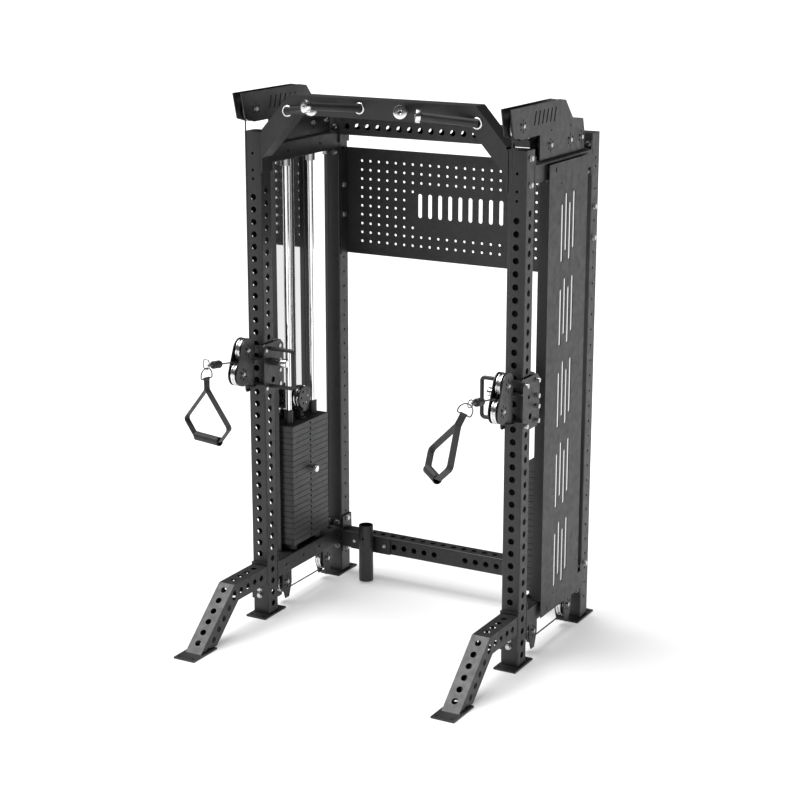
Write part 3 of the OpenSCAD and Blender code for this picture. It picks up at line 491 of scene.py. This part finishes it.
def dress_side(side):
    wheel = axle("stack_pulley", side)
    dress(f"picked_plates_{side}", IRON, 1.4)
    stack_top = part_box(f"picked_plates_{side}")[1].z + PLATE_PITCH

    def rod_part(p):
        return p.z < stack_top - 26 * MM and off_axis(abs(wheel.x), wheel.y)(p) < ROD_R

    dress(f"stack_head_{side}", IRON, 0.8, [(CHROME, rod_part), (ZINC, near_axles([wheel]))])
    back, front = (at(0, y, 0).y for y in (TROLLEY_BACK, TROLLEY_FRONT))

    def bolt_face(p):
        outside = abs(abs(p.x) - TROLLEY_X) > TROLLEY_OUTSIDE
        return outside and min(abs(p.y - back), abs(p.y - front)) < 10 * MM

    def roller_face(p):
        return abs(abs(p.x) - TROLLEY_X) < ROLLER_R and abs(p.y - back) < ROLLER_R

    dress(f"trolley_{side}", POWDER, 0.5, [(ZINC, bolt_face), (NYLON_WHEEL, roller_face)])
    dress(f"side_handle_{side}", BAR, 0)
    head_axles = [axle("lead_pulley", side), axle("guide_pulley", side)]
    dress(f"swivel_{side}", BRACKET, 0.4, [(ZINC, near_axles(head_axles))])


# ---- Pulleys -------------------------------------------------------------------------------


PULLEY_HALF = 10
GROOVE_R = 3.2


def pulley_wheel(name, side):
    """A turned wheel with its rope groove, dished web and sealed bearing."""
    body = f"{name}_{side}"
    start = axle(name, side)
    low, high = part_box(body)
    r = (high.z - low.z) / 2 / MM
    half = PULLEY_HALF
    outer = [(-half, r - 8), (-half, r - 0.8), (-half + 0.8, r),
             (-6.2, r), (-5.4, r - 0.6), (-3.3, r - 3.6)]
    turn = [math.radians(a) for a in range(0, 181, 20)]
    groove = [(-GROOVE_R * math.cos(a), r - 3.4 - GROOVE_R * math.sin(a)) for a in turn]
    rim = outer + groove + [(-h, radius) for h, radius in outer[::-1]]
    web = [(half, 41), (half - 3, 38), (half - 3.4, 18), (half - 0.2, 16.5), (half - 0.2, 14),
           (-half + 0.2, 14), (-half + 0.2, 16.5), (-half + 3.4, 18), (-half + 3, 38), (-half, 41)]
    wheel = mesh_piece(f"{name}_wheel_{side}", *hollow(rim, web[::-1], start, (1, 0, 0), 72), ALUMINIUM)
    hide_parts(body)
    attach(wheel, body)
    rings = []
    for lo, hi, depth in ((5.1, 7.4, 9.6), (7.4, 11.6, 9.0), (11.6, 13.9, 9.6)):
        face = [(-depth, lo), (-depth, hi), (depth, hi), (depth, lo)]
        rings.append(hollow(face[1:3], [face[0], face[3]], start, (1, 0, 0), 48))
    for part, material, slot, chosen in (("race", ZINC, "pulley_metal", [rings[0], rings[2]]),
                                         ("seal", RUBBER, "stop_rubber", [rings[1]])):
        piece = mesh_piece(f"{name}_{part}_{side}", *joined(chosen), material)
        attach(piece, body)


# ---- Cables --------------------------------------------------------------------------------

CABLE_R = 3 * MM
# The cable's centre line on a pulley
WRAP_R = 46 * MM
# The lead cable leaves the swivel head this far above level
LEAD_DEG = 8
ANCHOR_Z = 1082


def cable_piece(name, path):
    piece = mesh_piece(name, *tube(path, CABLE_R, 14), CABLE, 60)
    return piece


def exit_point(side):
    """Where the cable leaves the upper swivel pulley."""
    a = math.radians(-90 - LEAD_DEG)
    return axle("lead_pulley", side) + WRAP_R * Vector((0, math.cos(a), math.sin(a)))


def pull_axis():
    """The way the lead cable runs out of the swivel head."""
    a = math.radians(LEAD_DEG)
    return Vector((0, -math.cos(a), math.sin(a)))


def cables(side):
    """The cable over the fixed pulleys, its straight runs, the lead and the lower end's stud."""
    front, fore, aft, rear = (axle(f"top_{k}_pulley", side) for k in ("front", "fore", "aft", "rear"))
    low_front, low_rear = axle("low_front_pulley", side), axle("low_rear_pulley", side)
    wheel, lead = axle("stack_pulley", side), axle("lead_pulley", side)
    r = Vector((0, WRAP_R, 0))
    a_top = math.degrees(math.atan2(fore.z - front.z, fore.y - front.y)) + 90
    a_drop = math.degrees(math.atan2(low_rear.z - rear.z, low_rear.y - rear.y)) + 90

    bridge = arc_yz(front, WRAP_R, 180, a_top) + arc_yz(fore, WRAP_R, a_top, 0)
    over = cable_piece(f"cable_over_{side}", bridge)
    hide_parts(f"cable_run_{side}")
    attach(over, "frame")
    back = arc_yz(aft, WRAP_R, 180, 90) + arc_yz(rear, WRAP_R, 90, a_drop)
    back += arc_yz(low_rear, WRAP_R, a_drop, -90) + arc_yz(low_front, WRAP_R, -90, -180)
    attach(cable_piece(f"cable_back_{side}", back), "frame")
    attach(cable_piece(f"cable_float_{side}", arc_yz(wheel, WRAP_R, 180, 360)), f"stack_{side}")

    def stretch(name, a, b, body_a, body_b):
        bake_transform(cable_piece(f"{name}_{side}", line(a, b)))

    anchor = Vector((low_front.x, low_front.y - WRAP_R, ANCHOR_Z * MM))
    stretch("cable_rise", lead + r, front - r, f"trolley_{side}", "frame")
    stretch("cable_fall", fore + r, wheel - r, "frame", f"stack_{side}")
    stretch("cable_climb", wheel + r, aft - r, f"stack_{side}", "frame")
    stretch("cable_low", low_front - r, anchor, "frame", f"trolley_{side}")

    leave = exit_point(side)
    stop = stop_start(side)
    path = arc_yz(lead, WRAP_R, 0, -90 - LEAD_DEG) + line(leave, stop + pull_axis() * 4 * MM, 6)[1:]
    out = cable_piece(f"cable_out_{side}", path)
    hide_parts(f"cable_lead_{side}")
    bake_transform(out)

    # Threaded stud and nuts of the lower cable end, above the trolley's anchor bar
    up = (0, 0, 1)
    rod = [(-30, 0), (-30, 4.2), (-29, 4.8), (-12, 4.8), (-12, 5), (22, 5), (24, 4.2), (24, 0)]
    parts = [lathe(rod, anchor, up, 32)]
    for height in (12.2, -8.2):
        parts.append(lathe(chamfered(height, height + 7.5, 9, 0.8), anchor, up, 6))
    stud = mesh_piece(f"cable_stud_{side}", *joined(parts), ZINC)
    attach(stud, f"trolley_{side}")


# ---- Cable stop and link -------------------------------------------------------------------

# Y of the stop's near end, and how far its eye is from there
STOP_Y = {"l": -304, "r": -309}
EYE_LEN = 75
LINK_R = 14
LINK_STRAIGHT = 14
LINK_LIFT = 3


def stop_start(side):
    leave = exit_point(side)
    run = (leave.y - at(0, STOP_Y[side], 0).y) / math.cos(math.radians(LEAD_DEG))
    return leave + pull_axis() * run


def eye_point(side):
    return stop_start(side) + pull_axis() * EYE_LEN * MM


def stop_and_link(side):
    body = f"cable_end_{side}"
    start, eye, axis = stop_start(side), eye_point(side), pull_axis()
    profile = [(0, 0), (0, 8), (0.8, 12), (2.2, 14.6), (4.5, 15.8), (8, 16), (20, 15.6), (26, 15.4),
               (32, 15.6), (44, 16), (47.5, 15.8), (49.8, 14.6), (51.2, 12), (52, 8), (52, 0)]
    stop = mesh_piece(f"cable_stop_{side}", *lathe(profile, start, axis, 64), RUBBER, 60)
    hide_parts(f"cable_end_{side}")
    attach(stop, body)
    ferrule = [(-9, 0), (-9, 3.6), (-8.4, 4.4), (-7, 4.6), (1, 4.9), (1, 0)]
    collar = mesh_piece(f"cable_ferrule_{side}", *lathe(ferrule, start, axis, 32), ZINC)
    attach(collar, body)

    # Flat lug: a ring round the eye and the strip that joins it to the stop
    up = Vector((0, math.sin(math.radians(LEAD_DEG)), math.cos(math.radians(LEAD_DEG))))
    rim = [(-3.5, 4.2), (-3.5, 7), (-3, 7.5), (3, 7.5), (3.5, 7), (3.5, 4.2)]
    hole = [(-3.5, 3.5), (3.5, 3.5)]
    ring = hollow(rim, hole, eye, up, 40)
    across = Vector((1, 0, 0))
    strip = []
    for distance in (-24, -4.6):
        centre = eye + axis * distance * MM
        corners = [(-7.5, -3), (-7, -3.5), (7, -3.5), (7.5, -3),
                   (7.5, 3), (7, 3.5), (-7, 3.5), (-7.5, 3)]
        strip.append([centre + across * a * MM + up * b * MM for a, b in corners])
    lug = mesh_piece(f"cable_lug_{side}", *joined([ring, loft(strip)]), STEEL)
    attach(lug, body)

    # Oval link: on the left it hangs across the cable, on the right it lies along it
    if side == "l":
        centre = eye + Vector((-LINK_R, 0, LINK_LIFT)) * MM
        long_way, short_way = Vector((0, 0, 1)), Vector((1, 0, 0))
    else:
        centre = eye + axis * (LINK_R + LINK_STRAIGHT / 2) * MM
        long_way, short_way = axis, up
    path = []
    for sign in (1, -1):
        for k in range(13):
            a = math.pi * (k / 12 - 0.5)
            out = LINK_STRAIGHT / 2 + LINK_R * math.cos(a)
            bend = long_way * out + short_way * LINK_R * math.sin(a)
            path.append(centre + sign * bend * MM)
    link = mesh_piece(f"oval_link_{side}", *tube(path, 2.4 * MM, 18, closed=True), WIRE, 60)
    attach(link, body)


# ---- Handles -------------------------------------------------------------------------------

# The half-round ring: top of its wire's centre line, arc, straight legs, corners and wire radius
RING_TOP = 4
RING_R = 29.4
RING_LEG = 12.6
RING_CORNER = 6
RING_WIRE = 2.6
RING_BAR_Z = -(RING_TOP + RING_R + RING_LEG)
# From the handle's top to the grip's axis, and the webbing's width and thickness
GRIP_DROP = 296
STRAP_W = 28
STRAP_T = 2.6


def handle_frame(side):
    """The hanging handle's own axes: X along the grip, Z up the strap, from the top of its ring."""
    swing, grip = spot(f"handle_swing_{side}"), spot(f"grip_spin_{side}")
    z = (swing - grip).normalized()
    x = Vector(JOINTS[f"grip_spin_{side}"]["axis"]).normalized()
    y = z.cross(x)
    origin = grip + z * GRIP_DROP * MM
    return Matrix.Translation(origin) @ Matrix((x, y, z)).transposed().to_4x4()


def strap_path():
    """Centre line of the webbing in the handle's X-Z plane, round the ring's bar and through the grip."""
    wrap = RING_WIRE + STRAP_T / 2 + 0.2
    layer = STRAP_T / 2 + 0.1
    over = [Vector((wrap * math.cos(a), 0, RING_BAR_Z + wrap * math.sin(a)))
            for a in [math.pi * (1.1 - 1.2 * k / 12) for k in range(13)]]
    # Corners of the right half: under the bar, the fork, the widest point and the grip's end
    half = [(layer, RING_BAR_Z - 9), (layer, -91), (127.5, -232), (71, -GRIP_DROP)]
    points = [Vector((x, 0, z)) for x, z in half] + [Vector((-x, 0, z)) for x, z in half[::-1]]
    down = rounded(over + points, [0] * 13 + [6, 18, 16, 9, 9, 16, 18, 6], True, 7)
    path = []
    for i, p in enumerate(down):
        nxt = down[(i + 1) % len(down)]
        steps = max(1, round((nxt - p).length / 9))
        path += [p.lerp(nxt, k / steps) for k in range(steps)]
    return path


def strap_profile():
    """Cross-section of the webbing: (across its thickness, along its width) with rounded selvedges."""
    w, t = STRAP_W / 2, STRAP_T / 2
    across = [(w - 1.2) * (k / 5 - 1) for k in range(11)]
    top = [(t, b) for b in across]
    end = [(t * 0.75, w - 0.4), (0, w), (-t * 0.75, w - 0.4)]
    return top + end + [(-a, -b) for a, b in top] + [(-a, -b) for a, b in end]


def webbing_strap(side, place):
    """The strap swept along its path, with UVs in metres for the weave."""
    path, profile = strap_path(), strap_profile()
    count = len(path)
    rings = []
    for i, p in enumerate(path):
        tangent = (path[(i + 1) % count] - path[i - 1]).normalized()
        normal = Vector((0, 1, 0)).cross(tangent)
        rings.append([place @ ((p + normal * a + Vector((0, b, 0))) * MM) for a, b in profile])
    verts, faces = loft(rings, closed=True)
    strap = mesh_piece(f"strap_webbing_{side}", verts, faces, STRAP, 50)
    lengths = [0.0]
    for i in range(count):
        lengths.append(lengths[-1] + (path[(i + 1) % count] - path[i]).length * MM)
    uv = strap.data.uv_layers.new(name="weave")
    n = len(profile)
    for face in strap.data.polygons:
        rows = [strap.data.loops[k].vertex_index // n for k in face.loop_indices]
        wraps = max(rows) - min(rows) > 1
        for k, row in zip(face.loop_indices, rows):
            b = profile[strap.data.loops[k].vertex_index % n][1] * MM
            uv.data[k].uv = (b, lengths[count if wraps and row == 0 else row])
    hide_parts(f"handle_strap_{side}")
    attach(strap, f"handle_{side}")


def stitch(a, b):
    """One thread stitch lying between two points."""
    radii = [r * MM for r in (0.15, 0.36, 0.42, 0.42, 0.42, 0.36, 0.15)]
    return tube(line(a, b, 6), radii, 8)


def strap_stitches(side, place):
    """A box of stitches with a cross in it, on both faces of the doubled tab."""
    top, low, edge = -58, -86, 11
    corners = [(edge, top), (edge, low), (-edge, low), (-edge, top)]
    runs = [(corners[i], corners[(i + 1) % 4]) for i in range(4)]
    runs += [(corners[0], corners[2]), (corners[1], corners[3])]
    parts = []
    for face in (-1, 1):
        x = face * (STRAP_T + 0.3)
        for (y0, z0), (y1, z1) in runs:
            count = round(math.hypot(y1 - y0, z1 - z0) / 3.4)
            for k in range(count):
                ends = [(k + t) / count for t in (0.14, 0.86)]
                spots = [Vector((x, y0 + (y1 - y0) * t, z0 + (z1 - z0) * t)) for t in ends]
                parts.append(stitch(*(place @ (p * MM) for p in spots)))
    piece = mesh_piece(f"strap_stitches_{side}", *joined(parts), THREAD, 60)
    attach(piece, f"handle_{side}")


def half_ring(side, place):
    """The wire ring that the strap hangs from: an arc over two legs and a straight bar."""
    turn = [math.pi * k / 24 for k in range(25)]
    arc = [Vector((0, RING_R * math.cos(a), -RING_TOP - RING_R + RING_R * math.sin(a))) for a in turn]
    corners = [Vector((0, -RING_R, RING_BAR_Z)), Vector((0, RING_R, RING_BAR_Z))]
    path = rounded(arc + corners, [0] * 25 + [RING_CORNER] * 2, True, 8)
    wire = tube([place @ (p * MM) for p in path], RING_WIRE * MM, 18, True)
    ring = mesh_piece(f"half_ring_{side}", *wire, STEEL, 60)
    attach(ring, f"handle_{side}")


def hand_grip(side, place):
    """A ribbed sleeve with soft flanged ends, round the webbing."""
    half, radius = 68, 18
    end = [(half - 6, radius), (half - 4.5, 18.5), (half - 1.6, 18.5), (half - 0.4, 17.6), (half, 16.4)]
    outer = [(-h, r) for h, r in end[::-1]]
    h = -half + 8
    while h < half - 9:
        outer += [(h, radius), (h + 0.7, radius - 0.45), (h + 1.5, radius - 0.45), (h + 2.2, radius)]
        h += 4.4
    outer += end
    inner = [(-half, 15.8), (-half + 1, 15.5), (half - 1, 15.5), (half, 15.8)]
    x = place.to_3x3() @ Vector((1, 0, 0))
    sleeve = hollow(outer, inner, spot(f"grip_spin_{side}"), x, 64)
    grip = mesh_piece(f"grip_sleeve_{side}", *sleeve, GRIP)
    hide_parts(f"handle_grip_{side}")
    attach(grip, f"handle_grip_{side}")


def handle(side):
    place = handle_frame(side)
    webbing_strap(side, place)
    strap_stitches(side, place)
    half_ring(side, place)
    hand_grip(side, place)


# ---- Bolts of the swivel head --------------------------------------------------------------

# From the middle of the head to the outside of a cheek
SWIVEL_CHEEK = 21.5


def swivel_bolts(side):
    """Hexagon heads with washers on the outside of both cheeks, at each axle."""
    parts = []
    for name in ("lead_pulley", "guide_pulley"):
        for s in (-1, 1):
            face = axle(name, side) + Vector((s * SWIVEL_CHEEK * MM, 0, 0))
            out = (s, 0, 0)
            washer = [(-0.5, 0), (-0.5, 8.4), (1.1, 8.4), (1.5, 8), (1.5, 0)]
            head = [(1.4, 0), (1.4, 7.5), (5.6, 7.5), (6.8, 6.3), (6.8, 0)]
            parts += [lathe(washer, face, out, 40), lathe(head, face, out, 6)]
    bolts = mesh_piece(f"swivel_bolts_{side}", *joined(parts), ZINC, 25)
    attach(bolts, f"swivel_{side}")


# ---- Pins and knobs ------------------------------------------------------------------------


def pin_frame(node, side):
    """Where a pin's inner tip is, and the pin's length in millimetres."""
    low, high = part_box(f"{node}_{side}")
    tip = Vector((high.x if SIDES[side] > 0 else low.x, (low.y + high.y) / 2, (low.z + high.z) / 2))
    return tip, (high.x - low.x) / MM


def pin_pieces(node, side, parts):
    """Turned pieces that lie along a pin, from its tip; the first one stands for the CAD node."""
    tip, _ = pin_frame(node, side)
    for number, (name, profile, material) in enumerate(parts):
        turned = lathe(profile, tip, (-SIDES[side], 0, 0), 64)
        piece = mesh_piece(f"{name}_{side}", *turned, material)
        if number == 0:
            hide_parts(f"{node}_{side}")
        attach(piece, f"{node}_{side}")


def pop_pin(side):
    """The trolley's spring pin with its waisted knob."""
    _, length = pin_frame("pop_pin", side)
    neck = length - 26
    shaft = [(0, 0), (0, 5.5), (3, 7.6), (5, 8), (neck, 8), (neck, 0)]
    start = neck + 0.02
    knob = [(start, 0), (start, 14), (start + 1, 16.5), (start + 2.5, 18), (start + 7, 18),
            (start + 8, 17), (start + 10, 17), (start + 11, 18), (length - 6, 18),
            (length - 2.5, 17.2), (length - 0.6, 15), (length, 11), (length, 0)]
    pin_pieces("pop_pin", side, [("pop_pin", shaft, ZINC), ("pop_knob", knob, ALUMINIUM)])


def selector_pin(side):
    """The pin that picks the plates, with its collar and round knob."""
    _, length = pin_frame("selector_pin", side)
    neck = length - 34
    end = length - 22.4
    shaft = [(0, 0), (0, 3), (2.5, 4.6), (4, 4.75), (neck + 0.3, 4.75), (neck + 0.3, 9),
             (neck + 1.5, 10), (end, 10), (end, 0)]
    start = length - 22.3
    knob = [(start, 0), (start, 13), (length - 21, 16), (length - 19, 17), (length - 6, 17),
            (length - 3, 16.2), (length - 1, 13.5), (length, 9), (length - 0.6, 7.5), (length - 0.6, 0)]
    pin_pieces("selector_pin", side,
               [("selector_shaft", shaft, CHROME), ("selector_knob", knob, ALUMINIUM)])


# ---- Pull-up grips -------------------------------------------------------------------------

ARCH_FACE = -38.1
CAP_LEN = 19.5
# Root and tip of each bar, in the right half
GRIP_BARS = {
    "inner": ((90, ARCH_FACE, 2185), (209, -255, 2208.6)),
    "outer": ((419, ARCH_FACE, 2157), (226, -170, 2188)),
}


def grip_cap(length):
    """Profile of an end cap: softened rims and a bolt recess in its face."""
    near = length - CAP_LEN
    return [(near, 0), (near, 24.2), (near + 0.5, 25.5), (near + 1.6, 26), (length - 2.4, 26),
            (length - 0.8, 25.4), (length, 23.8), (length, 7.6), (length - 0.8, 6.6),
            (length - 8, 6.4), (length - 8, 0)]


def pull_up_grips():
    """Four bars on the arch, each with its collar, end cap and bolt."""
    first = None
    for side, s in SIDES.items():
        for name, (root, tip) in GRIP_BARS.items():
            a, b = at(s * root[0], *root[1:]), at(s * tip[0], *tip[1:])
            length = (b - a).length / MM
            axis = (b - a).normalized()
            shaft = [(-1, 0), (-1, 16), (length - 17, 16), (length - 17, 0)]
            bolt = [(length - 9, 0), (length - 9, 6.2), (length - 7, 6.2), (length - 7, 0)]
            flange = [(0, 18), (0, 22.5), (3.8, 22.5), (4.8, 21.5)]
            bar = mesh_piece(f"{name}_grip_bar_{side}", *lathe(shaft, a, axis, 48), BAR)
            knob = lathe(grip_cap(length), a, axis, 56)
            cap = mesh_piece(f"{name}_grip_cap_{side}", *knob, ALUMINIUM)
            plug = mesh_piece(f"{name}_grip_plug_{side}", *lathe(bolt, a, axis, 32), STEEL)
            ring = hollow(flange, [(0, 17.4), (4.8, 17.4)], a, (0, -1, 0), 48)
            collar = mesh_piece(f"{name}_grip_collar_{side}", *ring, ALUMINIUM)
            first = first or bar
            for piece in (bar, cap, plug, collar):
                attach(piece, "frame")
    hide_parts("pull_up_grips")


# ---- Camera, light and floor ---------------------------------------------------------------


def camera():
    """A standing viewpoint, 29 degrees round to the machine's right and 15 degrees up."""
    azimuth, elevation, roll = 28.976, 15.01, 0.042
    data = bpy.data.cameras.new("camera")
    data.sensor_width = 36
    data.lens = 85.13
    data.clip_end = 500
    eye = bpy.data.objects.new("camera", data)
    bpy.context.scene.collection.objects.link(eye)
    eye.matrix_world = (Matrix.Translation(at(3606.9, -6389.0, 2999.3))
                        @ Matrix.Rotation(math.radians(azimuth), 4, "Z")
                        @ Matrix.Rotation(math.radians(90 - elevation), 4, "X")
                        @ Matrix.Rotation(math.radians(roll), 4, "Z"))
    bpy.context.scene.camera = eye


def pale_floor():
    """Matt white, faintly lit from below like a studio sweep, so that shadows stay pale."""
    f = Finish("pale_floor", Emission_Color=(1, 1, 1, 1), Emission_Strength=0.36)
    f.colour(f.noise(0.7, 2), grey(0.58, 0), grey(0.6, 0))
    f.vary_roughness(f.noise(3, 2), 0.8, 0.9)
    return f.material


def floor():
    """A plane just under the feet, wide enough to reach the horizon."""
    size = 70
    corners = [(-size, -size, 0), (size, -size, 0), (size, size, 0), (-size, size, 0)]
    plane = mesh_piece("floor", corners, [(0, 1, 2, 3)], pale_floor())
    plane.location.z = -0.2 * MM


def studio():
    """A soft light overhead, a little to the front left, over a dark horizon that the camera sees pale."""
    scene = bpy.context.scene
    scene.view_settings.view_transform = "Standard"
    world = bpy.data.worlds.new("studio")
    scene.world = world
    world.use_nodes = True
    tree = world.node_tree
    background = tree.nodes["Background"]
    coords = tree.nodes.new("ShaderNodeTexCoord")
    toward = tree.nodes.new("ShaderNodeVectorMath")
    toward.operation = "DOT_PRODUCT"
    toward.inputs[1].default_value = Vector((-0.31, -0.12, 1)).normalized()
    ramp = tree.nodes.new("ShaderNodeValToRGB")
    stops = [(0.0, 0.001), (0.6, 0.006), (0.87, 0.06), (0.92, 1.0)]
    while len(ramp.color_ramp.elements) < len(stops):
        ramp.color_ramp.elements.new(0.5)
    for element, (position, value) in zip(ramp.color_ramp.elements, stops):
        element.position = position
        element.color = (value, value, value, 1)
    tree.links.new(coords.outputs["Generated"], toward.inputs[0])
    tree.links.new(toward.outputs["Value"], ramp.inputs["Fac"])
    tree.links.new(ramp.outputs["Color"], background.inputs["Color"])
    background.inputs["Strength"].default_value = 8.4
    pale = tree.nodes.new("ShaderNodeBackground")
    pale.inputs["Color"].default_value = (0.93, 0.93, 0.93, 1)
    seen = tree.nodes.new("ShaderNodeLightPath")
    mix = tree.nodes.new("ShaderNodeMixShader")
    tree.links.new(seen.outputs["Is Camera Ray"], mix.inputs["Fac"])
    tree.links.new(background.outputs[0], mix.inputs[1])
    tree.links.new(pale.outputs[0], mix.inputs[2])
    tree.links.new(mix.outputs[0], tree.nodes["World Output"].inputs["Surface"])


camera()
studio()
floor()
dress_frame()
pull_up_grips()
for side in SIDES:
    dress_side(side)
    for name in FIXED_PULLEYS + MOVING_PULLEYS:
        pulley_wheel(name, side)
    cables(side)
    stop_and_link(side)
    handle(side)
    swivel_bolts(side)
    pop_pin(side)
    selector_pin(side)
